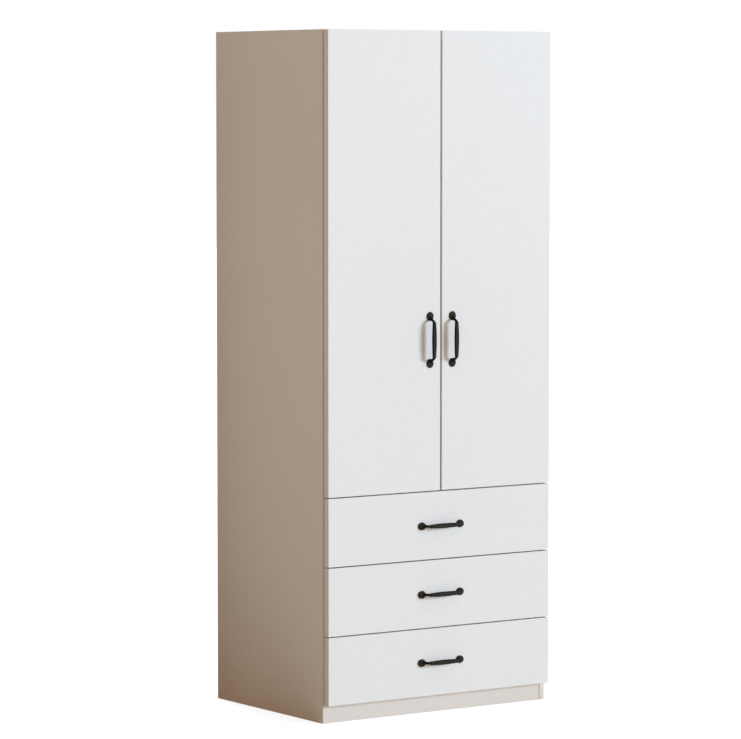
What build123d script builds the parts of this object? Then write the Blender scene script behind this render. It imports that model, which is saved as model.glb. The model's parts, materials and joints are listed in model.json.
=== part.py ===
from build123d import *
import os

# Two-door wardrobe with three drawers below the doors.
# Millimetres, +Z up, the front faces -Y, X runs from the left end to the right end.
# The origin is under the middle of the whole object's box, on the floor.

# Overall sizes of the case
overall_width = 800.0
overall_height = 2000.0
carcass_depth = 570.0
board = 18.0
plinth_height = 50.0
plinth_setback = 1.5
edge_round = 1.0

# Doors and drawer fronts
front_thickness = 22.0
front_standoff = 3.0
front_gap = 3.0
front_side_inset = 3.0
front_top_inset = 0.5
door_pair_gap = 6.0
drawer_count = 3
drawer_front_height = 198.5

# Back sheets, the grooves they sit in and the strip that joins them
back_sheet = 4.0
back_recess = 14.0
groove_depth = 5.0
groove_play = 0.2
sheet_end_play = 0.4
panel_to_back_gap = 1.5
strip_web = 2.0
strip_lip = 1.0
strip_width = 24.0

# Panel joinery
cam_radius = 7.5
cam_height = 12.5
cam_from_end = 34.0
cam_slot_play = 0.2
cam_cross_half = 4.5
cam_cross_width = 1.4
cam_cross_depth = 2.0
bolt_thread_radius = 2.5
bolt_thread_length = 11.0
bolt_shank_radius = 2.8
bolt_head_radius = 3.1
bolt_head_length = 3.0
bolt_hole_play = 0.4
dowel_radius = 4.0
dowel_in_side = 10.0
dowel_in_panel = 20.0
dowel_chamfer = 0.8
bore_end_play = 0.5
cam_from_edge = 60.0
dowel_from_cam = 32.0
plinth_dowel_shares = (0.3, 0.7)
fit_play = 0.05

# Hat shelf and hanging rail
hat_space = 304.0
shelf_setback = 30.0
shelf_side_play = 1.0
shelf_pin_radius = 2.5
shelf_pin_in_side = 8.0
shelf_pin_out = 9.0
shelf_pin_from_edge = 70.0
pin_row_pitch = 32.0
pin_row_steps = 2
rail_below_shelf = 60.0
rail_height = 30.0
rail_depth = 15.0
rail_wall = 1.2
rail_holder_base = 2.0
rail_holder_reach = 12.0
rail_holder_wall = 2.0
rail_holder_flange = 9.0

# Wall brackets under the top panel
wall_fixing_spacing = 500.0
wall_hole_radius = 3.0
bracket_sheet = 2.0
bracket_width = 40.0
bracket_drop = 50.0
bracket_reach = 40.0
bracket_hole_drop = 30.0

# Cup hinges: the pin stands upright inside a cup let into the back of the door
hinges_per_door = 3
hinge_end_distance = 100.0
pivot_from_door_edge = 7.0
pivot_in_door = 8.0
cup_radius = 17.5
cup_from_door_edge = 20.5
cup_depth = 12.0
cup_floor = 1.0
cup_wall = 1.0
cup_slot_half = 8.0
cup_flange = 1.2
cup_rim = 1.2
cup_wing_offset = 9.5
cup_wing_width = 14.0
cup_wing_height = 62.0
cup_wing_round = 5.0
cup_screw_half_pitch = 24.0
hinge_pin_radius = 1.2
pin_in_wall = 1.3
eye_wall = 1.0
hinge_eye_half = 4.4
arm_sheet = 2.0
arm_half_width = 6.0
arm_end = 58.0
plate_sheet = 2.0
plate_start = 18.0
plate_end = 64.0
plate_half_width = 8.0
plate_screw_line = 37.0
plate_wing_half = 23.0
plate_wing_width = 14.0
plate_screw_half_pitch = 16.0
arm_screw_line = 52.0

# Handles: a cast bow with an oval rosette at each end
handle_projection = 27.5
handle_hole_spacing = 128.0
rosette_offset = 4.6
rosette_half_length = 13.2
rosette_half_width = 11.4
rosette_height = 5.0
rosette_rim = 3.6
rosette_shoulder = 2.2
neck_run = 14.0
grip_width = 14.4
grip_depth = 8.6
grip_end_width = 10.6
grip_end_depth = 7.8
grip_corner_share = 0.42
grip_bow = 0.8
grip_steps = 4
neck_thickness = 7.2
neck_foot_thickness = 9.4
neck_foot_offset = 0.2
neck_foot_height = 2.2
neck_steps = 6
neck_start_lean = 0.4
neck_end_rise = 0.06
# The neck's two bends, as shares of its run inward and of its height
neck_bends = ((0.34, 0.44), (0.6, 0.78))
collar_length = 2.4
collar_width_step = 0.4
collar_depth_step = 0.4
collar_round = 0.6
handle_hole_depth = 6.0
door_handle_from_gap = 37.0
door_handle_height = 1100.0

# Drawer boxes
drawer_board = 12.0
drawer_lift = 28.0
drawer_top_space = 20.5
drawer_rear_space = 74.0
drawer_sheet = 4.0
drawer_sheet_lift = 12.0
drawer_groove_depth = 6.0
drawer_groove_play = 0.1
front_screw_from_edge = 37.5
front_screw_from_corner = 107.0
corner_screw_low = 67.5
corner_screw_below_top = 30.0

# Roller runners
runner_space = 12.5
runner_sheet = 1.2
track_lift = 12.0
roller_radius = 8.0
roller_width = 6.0
roller_round = 0.8
roller_from_web = 3.2
roller_from_end = 14.0
roller_run_play = 0.05
roller_flange_play = 0.15
roller_clear = 0.5
runner_front_setback = 3.0
axle_radius = 2.0
axle_head_radius = 3.0
axle_head = 0.5
axle_head_play = 0.2
flange_play = 0.8
under_flange = 10.0

# Screws
plate_screw_radius = 1.75
plate_screw_head_radius = 3.4
plate_screw_head = 1.0
plate_screw_length = 13.0
long_screw_length = 24.0
runner_screw_length = 9.0
runner_screw_from_end = 42.0
handle_screw_radius = 2.0
handle_screw_head_radius = 4.0
handle_screw_head = 2.5
handle_hole_play = 0.4
screw_play = 0.02
# The rounding of a screw head as a share of its height, and its cross as shares of its radius
head_round_share = 0.6
cross_length_share = 1.2
cross_width_share = 0.25

# Bumpers that the closed fronts rest against
bumper_radius = 3.0
bumper_play = 0.3
bumper_from_gap = 25.0
bumper_round_share = 0.5

# Sizes that follow from the ones above
cam_slot_radius = bolt_head_radius + cam_slot_play
bolt_hole_radius = bolt_head_radius + bolt_hole_play
pivot_from_side = front_side_inset + pivot_from_door_edge
pivot_ahead = front_standoff + pivot_in_door
cup_inner_radius = cup_radius - cup_wall
cup_flange_radius = cup_radius + cup_rim
hinge_pin_half = cup_slot_half + pin_in_wall
hinge_eye_radius = hinge_pin_radius + eye_wall
rosette_spacing = handle_hole_spacing + 2 * rosette_offset
grip_half_length = handle_hole_spacing / 2 - neck_run
collar_width = grip_end_width + 2 * collar_width_step
collar_depth = grip_end_depth + 2 * collar_depth_step
handle_clear_hole = handle_screw_radius + handle_hole_play
drawer_sheet_in_groove = drawer_groove_depth - sheet_end_play
running_flange_lift = 2 * roller_radius + roller_clear
top_flange_lift = running_flange_lift + runner_sheet + flange_play

# Planes worked out from the sizes above
half_width = overall_width / 2
inner_x = half_width - board
total_depth = carcass_depth + front_standoff + front_thickness + handle_projection
rear_y = total_depth / 2
carcass_front_y = rear_y - carcass_depth
front_back_y = carcass_front_y - front_standoff
front_face_y = front_back_y - front_thickness
sheet_rear_y = rear_y - back_recess
sheet_front_y = sheet_rear_y - back_sheet
panel_rear_y = sheet_front_y - panel_to_back_gap
front_half_width = half_width - front_side_inset

drawer_pitch = drawer_front_height + front_gap
drawer_front_bottoms = [plinth_height + front_gap + i * drawer_pitch for i in range(drawer_count)]
door_bottom_z = plinth_height + front_gap + drawer_count * drawer_pitch
door_top_z = overall_height - front_top_inset

top_panel_z = overall_height - board
middle_panel_z = door_bottom_z - front_gap / 2 - board / 2
bottom_panel_z = plinth_height
hat_shelf_z = top_panel_z - hat_space - board
rail_z = hat_shelf_z - rail_below_shelf
rail_y = (carcass_front_y + panel_rear_y) / 2

grip_end_height = handle_projection - grip_depth / 2 - grip_bow

left, right = -1, 1
both_sides = (left, right)


def block(x0, x1, y0, y1, z0, z1):
    """A square-edged block between two corners."""
    size = Box(abs(x1 - x0), abs(y1 - y0), abs(z1 - z0))
    return Pos((x0 + x1) / 2, (y0 + y1) / 2, (z0 + z1) / 2) * size


def panel(x0, x1, y0, y1, z0, z1):
    """A board whose edges are broken by the thickness of the edge band."""
    plain = block(x0, x1, y0, y1, z0, z1)
    return fillet(plain.edges(), min(edge_round, board / 4))


def rod_x(x0, x1, y, z, radius):
    """A round bar or hole along X."""
    return Pos((x0 + x1) / 2, y, z) * Rot(0, 90, 0) * Cylinder(radius, abs(x1 - x0))


def rod_y(x, y0, y1, z, radius):
    """A round bar or hole along Y."""
    return Pos(x, (y0 + y1) / 2, z) * Rot(90, 0, 0) * Cylinder(radius, abs(y1 - y0))


def rod_z(x, y, z0, z1, radius):
    """A round bar or hole along Z."""
    return Pos(x, y, (z0 + z1) / 2) * Cylinder(radius, abs(z1 - z0))


def group(pieces):
    """Separate solids that share one node."""
    return Compound([solid for piece in pieces for solid in piece.solids()])


def screw(head_radius, head, shank_radius, length):
    """A cross-head screw: its head sits on the seat plane and the shank runs along +Z."""
    cap = Pos(0, 0, -head / 2) * Cylinder(head_radius, head)
    rim = cap.edges().sort_by(Axis.Z)[0]
    cap = fillet(rim, head * head_round_share)
    bar = Box(head_radius * cross_length_share, head_radius * cross_width_share, head)
    recess = bar + Rot(0, 0, 90) * bar
    body = cap + Pos(0, 0, length / 2) * Cylinder(shank_radius, length)
    return body - Pos(0, 0, -head) * recess


def seat(x, y, z, direction):
    """Where a screw goes: a seat point and the direction in which it is driven."""
    return Plane(origin=(x, y, z), z_dir=direction).location


plate_screw = screw(plate_screw_head_radius, plate_screw_head, plate_screw_radius, plate_screw_length)
long_screw = screw(plate_screw_head_radius, plate_screw_head, plate_screw_radius, long_screw_length)
runner_screw = screw(plate_screw_head_radius, plate_screw_head, plate_screw_radius, runner_screw_length)
screw_hole_radius = plate_screw_radius + screw_play

# Panel joints: cam bolts and dowels cross from each side panel into the end of a fixed panel
cam_lines = (carcass_front_y + cam_from_edge, panel_rear_y - cam_from_edge)
dowel_lines = (cam_lines[0] + dowel_from_cam, cam_lines[1] - dowel_from_cam)
fixed_panel_levels = (bottom_panel_z, middle_panel_z, top_panel_z)
plinth_dowel_levels = [plinth_height * share for share in plinth_dowel_shares]
plinth_front_line = carcass_front_y + plinth_setback + board / 2
plinth_rear_line = sheet_rear_y - board / 2

bolt_sites = [(y, z + board / 2) for z in fixed_panel_levels for y in cam_lines]
panel_dowel_sites = [(y, z + board / 2) for z in fixed_panel_levels for y in dowel_lines]
plinth_dowel_sites = [(y, z) for y in (plinth_front_line, plinth_rear_line) for z in plinth_dowel_levels]
dowel_sites = panel_dowel_sites + plinth_dowel_sites

# Shelf pins stand just under the hat shelf, in rows of spare holes
shelf_pin_z = hat_shelf_z - shelf_pin_radius - fit_play
shelf_pin_lines = (carcass_front_y + shelf_pin_from_edge, panel_rear_y - shelf_pin_from_edge)
pin_hole_steps = range(-pin_row_steps, pin_row_steps + 1)
pin_hole_levels = [shelf_pin_z + step * pin_row_pitch for step in pin_hole_steps]

# Hinge levels, evenly spread up the door
hinge_low = door_bottom_z + hinge_end_distance
hinge_high = door_top_z - hinge_end_distance
hinge_step = (hinge_high - hinge_low) / (hinges_per_door - 1)
hinge_levels = [hinge_low + i * hinge_step for i in range(hinges_per_door)]

# Drawer levels and lines
drawer_box_bottoms = [z + drawer_lift for z in drawer_front_bottoms]
drawer_box_height = drawer_front_height - drawer_lift - drawer_top_space
drawer_rear_y = sheet_front_y - drawer_rear_space
drawer_outer_x = inner_x - runner_space
drawer_inner_x = drawer_outer_x - drawer_board
runner_front_y = carcass_front_y + runner_front_setback
front_roller_y = runner_front_y + roller_from_end
rear_roller_y = drawer_rear_y - roller_from_end
runner_screw_lines = (runner_front_y + runner_screw_from_end, drawer_rear_y - runner_screw_from_end)

# Seats of every screw that is driven straight into a side panel: y, z and the head's distance inward
track_levels = [z + track_lift for z in drawer_box_bottoms]
cabinet_runner_middle = (top_flange_lift + runner_sheet) / 2
hinge_plate_seats = [
    (carcass_front_y + plate_screw_line, z + sign * plate_screw_half_pitch, plate_sheet)
    for z in hinge_levels
    for sign in both_sides
]
hinge_arm_seats = [(carcass_front_y + arm_screw_line, z, plate_sheet + arm_sheet) for z in hinge_levels]
runner_seats = [
    (y, track + cabinet_runner_middle, runner_sheet) for track in track_levels for y in runner_screw_lines
]
rail_holder_screw_reach = rail_height / 2 + rail_holder_wall + rail_holder_flange / 2
rail_seats = [(rail_y, rail_z + sign * rail_holder_screw_reach, rail_holder_base) for sign in both_sides]


def side_panel(side):
    """One tall end board, drilled for its fittings and grooved for the back sheet."""
    board_solid = panel(side * inner_x, side * half_width, carcass_front_y, rear_y, 0, overall_height)
    groove = block(
        side * inner_x,
        side * (inner_x + groove_depth),
        sheet_front_y - groove_play,
        sheet_rear_y + groove_play,
        plinth_height - groove_play,
        top_panel_z + groove_depth,
    )
    bores = [(y, z, bolt_thread_radius + screw_play, bolt_thread_length) for y, z in bolt_sites]
    bores += [(y, z, dowel_radius + fit_play, dowel_in_side + bore_end_play) for y, z in dowel_sites]
    for y in shelf_pin_lines:
        bores += [(y, z, shelf_pin_radius + fit_play, shelf_pin_in_side) for z in pin_hole_levels]
    for y, z, head_height in hinge_plate_seats + hinge_arm_seats + rail_seats:
        bores.append((y, z, screw_hole_radius, plate_screw_length - head_height + bore_end_play))
    for y, z, head_height in runner_seats:
        bores.append((y, z, screw_hole_radius, runner_screw_length - head_height + bore_end_play))
    holes = [rod_x(side * inner_x, side * (inner_x + depth), y, z, radius) for y, z, radius, depth in bores]
    return board_solid - [groove, *holes]


def fixed_panel(level, rear):
    """A board between the sides, held at each end by two cams and two dowels."""
    body = panel(-inner_x, inner_x, carcass_front_y, rear, level, level + board)
    middle = level + board / 2
    cuts = []
    for side in both_sides:
        end = side * inner_x
        cam_x = side * (inner_x - cam_from_end)
        for y in cam_lines:
            cuts.append(rod_x(end, cam_x, y, middle, bolt_hole_radius))
            cuts.append(rod_z(cam_x, y, level, level + cam_height + bore_end_play, cam_radius + fit_play))
        for y in dowel_lines:
            reach = side * (inner_x - dowel_in_panel - bore_end_play)
            cuts.append(rod_x(end, reach, y, middle, dowel_radius + fit_play))
    return body - cuts


def cam_lock(side, y, level):
    """A round cam in the underside of a panel, slotted for its bolt and cross-cut for a driver."""
    x = side * (inner_x - cam_from_end)
    middle = level + board / 2
    disc = rod_z(x, y, level, level + cam_height, cam_radius)
    slot = rod_x(x + side * cam_radius, x - side * cam_slot_radius, y, middle, cam_slot_radius)
    bar = Box(2 * cam_cross_half, cam_cross_width, 2 * cam_cross_depth)
    cross = Pos(x, y, level) * (bar + Rot(0, 0, 90) * bar)
    return disc - [slot, cross]


def cam_bolt(side, y, z):
    """A bolt with its thread in the side panel and its round head inside the cam."""
    tip = side * (inner_x - cam_from_end)
    neck = tip + side * bolt_head_length
    thread = rod_x(side * inner_x, side * (inner_x + bolt_thread_length), y, z, bolt_thread_radius)
    shank = rod_x(neck, side * inner_x, y, z, bolt_shank_radius)
    head = rod_x(tip, neck, y, z, bolt_head_radius)
    return thread + shank + head


def dowel(side, y, z):
    """A fluted hardwood dowel, drawn round, with broken ends."""
    pin = rod_x(side * (inner_x + dowel_in_side), side * (inner_x - dowel_in_panel), y, z, dowel_radius)
    return chamfer(pin.edges().filter_by(GeomType.CIRCLE), dowel_chamfer)


def plinth(line):
    """A low board on the floor between the sides."""
    body = panel(-inner_x, inner_x, line - board / 2, line + board / 2, 0, plinth_height)
    reach = inner_x - dowel_in_panel - bore_end_play
    bore = dowel_radius + fit_play
    holes = [
        rod_x(side * inner_x, side * reach, line, z, bore) for side in both_sides for z in plinth_dowel_levels
    ]
    return body - holes


def top_panel():
    """The top board runs over the back sheets, which stand in a groove in its underside."""
    groove = block(
        -inner_x,
        inner_x,
        sheet_front_y - groove_play,
        sheet_rear_y + groove_play,
        top_panel_z,
        top_panel_z + groove_depth,
    )
    screw_top = top_panel_z + plate_screw_length
    holes = [rod_z(x, y, top_panel_z, screw_top, screw_hole_radius) for x, y in wall_bracket_screws]
    return fixed_panel(top_panel_z, rear_y) - [groove, *holes]


wall_bracket_lines = [sign * wall_fixing_spacing / 2 for sign in both_sides]
wall_bracket_screws = [
    (x + sign * bracket_width / 4, sheet_front_y - bracket_reach / 2)
    for x in wall_bracket_lines
    for sign in both_sides
]
wall_hole_z = top_panel_z - bracket_hole_drop


def back_sheet_half(side):
    """Half of the back: a thin sheet held in the side groove, the top groove and the joint strip."""
    sheet = block(
        side * (strip_web / 2 + groove_play),
        side * (inner_x + groove_depth - sheet_end_play),
        sheet_front_y,
        sheet_rear_y,
        plinth_height,
        top_panel_z + groove_depth - sheet_end_play,
    )
    wall_hole = rod_y(
        side * wall_fixing_spacing / 2, sheet_front_y, sheet_rear_y, wall_hole_z, wall_hole_radius
    )
    return sheet - wall_hole


def back_joint_strip():
    """An H-shaped plastic strip that joins the two back sheets."""
    top = top_panel_z - groove_play
    lip_half = strip_width / 2
    web = block(-strip_web / 2, strip_web / 2, sheet_front_y, sheet_rear_y, plinth_height, top)
    front_lip = block(-lip_half, lip_half, sheet_front_y - strip_lip, sheet_front_y, plinth_height, top)
    rear_lip = block(-lip_half, lip_half, sheet_rear_y, sheet_rear_y + strip_lip, plinth_height, top)
    return web + front_lip + rear_lip


def hat_shelf():
    """A loose shelf above the hanging rail."""
    reach = inner_x - shelf_side_play
    front = carcass_front_y + shelf_setback
    return panel(-reach, reach, front, panel_rear_y, hat_shelf_z, hat_shelf_z + board)


def shelf_pin(side, y):
    """A metal pin under a corner of the hat shelf."""
    tip = side * (inner_x - shelf_pin_out)
    return rod_x(side * (inner_x + shelf_pin_in_side), tip, y, shelf_pin_z, shelf_pin_radius)


def oval(height, depth):
    """The flat-sided oval of the hanging rail, with height along the sketch's X."""
    return SlotOverall(height, depth)


def rail_section(x):
    """The plane in which the rail's section is drawn, looking along X."""
    return Plane(origin=(x, rail_y, rail_z), x_dir=(0, 0, 1), z_dir=(1, 0, 0))


def hanging_rail():
    """An oval steel tube between the two holders."""
    reach = inner_x - rail_holder_base
    wall = oval(rail_height, rail_depth) - oval(rail_height - 2 * rail_wall, rail_depth - 2 * rail_wall)
    return extrude(rail_section(-reach) * wall, amount=2 * reach)


def rail_holder(side):
    """An oval collar on a base plate, screwed to the side panel."""
    wall = 2 * (rail_holder_wall + fit_play)
    base = oval(rail_height + wall + 2 * rail_holder_flange, rail_depth + wall)
    mouth = oval(rail_height + 2 * fit_play, rail_depth + 2 * fit_play)
    collar = oval(rail_height + wall, rail_depth + wall) - mouth
    plane = rail_section(side * inner_x)
    body = extrude(plane * base, amount=-side * rail_holder_base)
    body += extrude(plane * collar, amount=-side * rail_holder_reach)
    inner_face = side * (inner_x - rail_holder_base)
    holes = [rod_x(side * inner_x, inner_face, y, z, screw_hole_radius) for y, z, _ in rail_seats]
    return body - holes


def wall_bracket(x):
    """A steel angle that ties the top panel to the wall through the back sheet."""
    half = bracket_width / 2
    face = sheet_front_y - bracket_sheet
    start = sheet_front_y - bracket_reach
    flat = block(x - half, x + half, start, sheet_front_y, top_panel_z - bracket_sheet, top_panel_z)
    upright = block(x - half, x + half, face, sheet_front_y, top_panel_z - bracket_drop, top_panel_z)
    wall_hole = rod_y(x, face, sheet_front_y, wall_hole_z, wall_hole_radius)
    screw_holes = [
        rod_z(px, py, top_panel_z - bracket_sheet, top_panel_z, screw_hole_radius)
        for px, py in wall_bracket_screws
    ]
    return flat + upright - [wall_hole, *screw_holes]


# Hinge geometry, with x counted inward from the outer face of the side panel
pivot_y = carcass_front_y - pivot_ahead
cup_x = front_side_inset + cup_from_door_edge
cup_floor_y = front_back_y - cup_depth + cup_floor
plate_face = board + plate_sheet
arm_face = plate_face + arm_sheet


def across(side, x):
    """The X of a point that lies x inward from a side panel's outer face."""
    return side * (half_width - x)


def hinge_cup(side, z):
    """A cast cup with a screwed flange, slotted for the arm and bored for the pin."""
    x = across(side, cup_x)
    body = rod_y(x, front_back_y - cup_depth, front_back_y, z, cup_radius)
    flange_plane = Plane(origin=(x, front_back_y, z), x_dir=(-side, 0, 0), z_dir=(0, 1, 0))
    wings = Pos(cup_wing_offset, 0) * RectangleRounded(cup_wing_width, cup_wing_height, cup_wing_round)
    body += extrude(flange_plane * (Circle(cup_flange_radius) + wings), amount=cup_flange)
    slot_plane = Plane(origin=(x, cup_floor_y, z), x_dir=(1, 0, 0), z_dir=(0, 1, 0))
    slot = Circle(cup_inner_radius) & Rectangle(4 * cup_inner_radius, 2 * cup_slot_half)
    cavity = extrude(slot_plane * slot, amount=front_back_y + cup_flange - cup_floor_y)
    reach = hinge_pin_half + fit_play
    pin_x = across(side, pivot_from_side)
    pin_hole = rod_z(pin_x, pivot_y, z - reach, z + reach, hinge_pin_radius + fit_play)
    screw_holes = [
        rod_y(sx, front_back_y, front_back_y + cup_flange, sz, screw_hole_radius)
        for sx, sz in cup_screw_sites(side, z)
    ]
    return body - [cavity, pin_hole, *screw_holes]


def cup_screw_sites(side, z):
    """The two wood screws beside a cup."""
    x = across(side, cup_x + cup_wing_offset)
    return [(x, z + sign * cup_screw_half_pitch) for sign in both_sides]


def hinge_pin(side, z):
    """The upright pin that the door turns about."""
    x = across(side, pivot_from_side)
    return rod_z(x, pivot_y, z - hinge_pin_half, z + hinge_pin_half, hinge_pin_radius)


def hinge_arm(side, z):
    """An angled arm: a leg with an eye inside the cup and a long leg on the mounting plate."""
    pivot_x = across(side, pivot_from_side)
    half_sheet = arm_sheet / 2
    near_y = pivot_y - half_sheet
    far_y = pivot_y + half_sheet
    rear = carcass_front_y + arm_end
    face_x = across(side, arm_face)
    back_x = across(side, plate_face)
    leg = block(pivot_x, face_x, near_y, far_y, z - hinge_eye_half, z + hinge_eye_half)
    eye = rod_z(pivot_x, pivot_y, z - hinge_eye_half, z + hinge_eye_half, hinge_eye_radius)
    long_leg = block(back_x, face_x, near_y, rear, z - arm_half_width, z + arm_half_width)
    pin_hole = rod_z(pivot_x, pivot_y, z - arm_half_width, z + arm_half_width, hinge_pin_radius + fit_play)
    screw_hole = rod_x(back_x, face_x, carcass_front_y + arm_screw_line, z, screw_hole_radius)
    return leg + eye + long_leg - [pin_hole, screw_hole]


def hinge_plate(side, z):
    """A cross-shaped mounting plate on the inner face of the side panel."""
    face_x = across(side, plate_face)
    front = carcass_front_y + plate_start
    rear = carcass_front_y + plate_end
    line = carcass_front_y + plate_screw_line
    half_wing = plate_wing_width / 2
    bar = block(side * inner_x, face_x, front, rear, z - plate_half_width, z + plate_half_width)
    wing_low = z - plate_wing_half
    wing_high = z + plate_wing_half
    wing = block(side * inner_x, face_x, line - half_wing, line + half_wing, wing_low, wing_high)
    holes = [(line, z + sign * plate_screw_half_pitch) for sign in both_sides]
    holes.append((carcass_front_y + arm_screw_line, z))
    return bar + wing - [rod_x(side * inner_x, face_x, hy, hz, screw_hole_radius) for hy, hz in holes]


def bow_plane(u, v, heading):
    """The plane of a slice through the handle's bow at u along and v out, square to its heading."""
    return Plane(origin=(u, 0, v), x_dir=(0, 1, 0), z_dir=heading)


def grip_outline(width, depth):
    """The grip's section: flat in front and behind, with well rounded corners."""
    return RectangleRounded(width, depth, depth * grip_corner_share)


def handle_grip():
    """The bar of the handle, which swells towards its middle and bows slightly outward."""
    middle = handle_projection - grip_depth / 2
    sections = []
    for step in range(-grip_steps, grip_steps + 1):
        share = step / grip_steps
        swell = 1 - share**2
        width = grip_end_width + (grip_width - grip_end_width) * swell
        depth = grip_end_depth + (grip_depth - grip_end_depth) * swell
        heading = (grip_half_length, 0, -2 * grip_bow * share)
        plane = bow_plane(grip_half_length * share, middle - grip_bow * share**2, heading)
        sections.append(plane * grip_outline(width, depth))
    return loft(sections)


def handle_neck():
    """The round neck that rises from a rosette and turns into the end of the grip."""
    foot = handle_hole_spacing / 2
    route = Spline(
        [
            (foot + neck_foot_offset, 0, neck_foot_height),
            *[(foot - neck_run * inward, 0, grip_end_height * up) for inward, up in neck_bends],
            (grip_half_length, 0, grip_end_height),
        ],
        tangents=[(-neck_start_lean, 0, 1), (-1, 0, neck_end_rise)],
    )
    sections = []
    for step in range(neck_steps + 1):
        share = step / neck_steps
        flare = (neck_foot_thickness - neck_thickness) * (1 - share) ** 3
        swell = (grip_end_depth - neck_thickness) * share**4
        radius = (neck_thickness + flare + swell) / 2
        place = route @ share
        sections.append(bow_plane(place.X, place.Z, route % share) * Circle(radius))
    return loft(sections)


def rosette():
    """The oval foot of the handle: a turned button with a gently domed top, drawn out along the grip."""
    edge = rosette_half_width
    flank = Polyline((0, rosette_height), (0, 0), (edge, 0), (edge, rosette_rim))
    top = TangentArc((0, rosette_height), (edge, rosette_rim), tangent=(1, 0))
    profile = make_face([flank, top])
    shoulder = profile.vertices().group_by(Axis.X)[-1].sort_by(Axis.Y)[-1]
    profile = fillet(shoulder, rosette_shoulder)
    button = revolve(Plane.XZ * profile, Axis.Z)
    return scale(button, by=(rosette_half_length / rosette_half_width, 1, 1))


def handle_collar(sign):
    """The narrow ring where a neck meets the grip."""
    plane = bow_plane(sign * grip_half_length, grip_end_height, (1, 0, 0))
    ring = extrude(plane * grip_outline(collar_width, collar_depth), amount=collar_length / 2, both=True)
    ends = ring.faces().sort_by(Axis.X)
    rims = ends[0].edges() + ends[-1].edges()
    return fillet(rims, min(collar_round, collar_length / 3))


def handle():
    """A cast bow handle lying along X, with its back on the plane Z = 0."""
    neck = handle_neck()
    body = handle_grip()
    for sign in both_sides:
        body += neck if sign > 0 else mirror(neck, about=Plane.YZ)
        body += Pos(sign * rosette_spacing / 2, 0, 0) * rosette()
        body += handle_collar(sign)
    holes = [
        rod_z(sign * handle_hole_spacing / 2, 0, 0, handle_hole_depth, handle_screw_radius + fit_play)
        for sign in both_sides
    ]
    return body - holes


handle_shape = handle()


def place_handle(x, z, along):
    """The handle on a front, with its length along the given direction."""
    return Plane(origin=(x, front_face_y, z), x_dir=along, z_dir=(0, -1, 0)).location * handle_shape


def handle_screw_sites(x, z, along):
    """Where the two handle screws pass through a front."""
    half = handle_hole_spacing / 2
    return [(x + sign * half * along[0], z + sign * half * along[2]) for sign in both_sides]


along_z = (0, 0, 1)
along_x = (1, 0, 0)


def door_handle_place(side):
    """The middle of a door's handle, beside the gap between the doors."""
    return side * (door_pair_gap / 2 + door_handle_from_gap), door_handle_height, along_z


def door(side):
    """A flat door with blind bores for the cups and through holes for the handle screws."""
    slab = panel(
        side * door_pair_gap / 2,
        side * front_half_width,
        front_face_y,
        front_back_y,
        door_bottom_z,
        door_top_z,
    )
    cuts = []
    for z in hinge_levels:
        x = across(side, cup_x)
        cuts.append(rod_y(x, front_back_y - cup_depth - fit_play, front_back_y, z, cup_radius + fit_play))
        for sx, sz in cup_screw_sites(side, z):
            depth = plate_screw_length - cup_flange + bore_end_play
            cuts.append(rod_y(sx, front_back_y - depth, front_back_y, sz, screw_hole_radius))
    for x, z in handle_screw_sites(*door_handle_place(side)):
        cuts.append(rod_y(x, front_face_y, front_back_y, z, handle_clear_hole))
    return slab - cuts


def door_screws(side):
    """The wood screws of the cups and the machine screws of the handle."""
    cup_seat_y = front_back_y + cup_flange
    pieces = []
    for z in hinge_levels:
        pieces += [seat(x, cup_seat_y, sz, (0, -1, 0)) * plate_screw for x, sz in cup_screw_sites(side, z)]
    for x, z in handle_screw_sites(*door_handle_place(side)):
        pieces.append(seat(x, front_back_y, z, (0, -1, 0)) * handle_screw(front_thickness))
    return group(pieces)


def handle_screw(grip_length):
    """A machine screw that reaches through a front of this thickness into the handle."""
    reach = grip_length + handle_hole_depth - bore_end_play
    return screw(handle_screw_head_radius, handle_screw_head, handle_screw_radius, reach)


def drawer_sheet_cut(bottom):
    """The grooves that the drawer's bottom sheet sits in, as one block."""
    reach_x = drawer_inner_x + drawer_groove_depth
    front = front_back_y + drawer_board - drawer_groove_depth
    rear = drawer_rear_y - drawer_board + drawer_groove_depth
    low = bottom + drawer_sheet_lift - drawer_groove_play
    return block(-reach_x, reach_x, front, rear, low, low + drawer_sheet + 2 * drawer_groove_play)


def drawer_front(index):
    """The visible slab of a drawer."""
    low = drawer_front_bottoms[index]
    slab = panel(
        -front_half_width, front_half_width, front_face_y, front_back_y, low, low + drawer_front_height
    )
    bore_end = front_back_y - front_screw_depth
    cuts = [rod_y(x, bore_end, front_back_y, z, screw_hole_radius) for x, z in front_screw_sites(index)]
    for x, z in handle_screw_sites(*drawer_handle_place(index)):
        cuts.append(rod_y(x, front_face_y, front_back_y, z, handle_clear_hole))
    return slab - cuts


front_screw_depth = long_screw_length - drawer_board + bore_end_play


def drawer_handle_place(index):
    """The middle of a drawer's handle."""
    return 0.0, drawer_front_bottoms[index] + drawer_front_height / 2, along_x


def front_screw_sites(index):
    """Four screws that hold the visible slab to the box."""
    low = drawer_box_bottoms[index]
    levels = (low + front_screw_from_edge, low + drawer_box_height - front_screw_from_edge)
    return [(sign * (drawer_inner_x - front_screw_from_corner), z) for sign in both_sides for z in levels]


def corner_screw_sites(index):
    """Two screws at each corner of the box: y of the end board's middle and z."""
    low = drawer_box_bottoms[index]
    lines = (front_back_y + drawer_board / 2, drawer_rear_y - drawer_board / 2)
    levels = (low + corner_screw_low, low + drawer_box_height - corner_screw_below_top)
    return [(y, z) for y in lines for z in levels]


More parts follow.
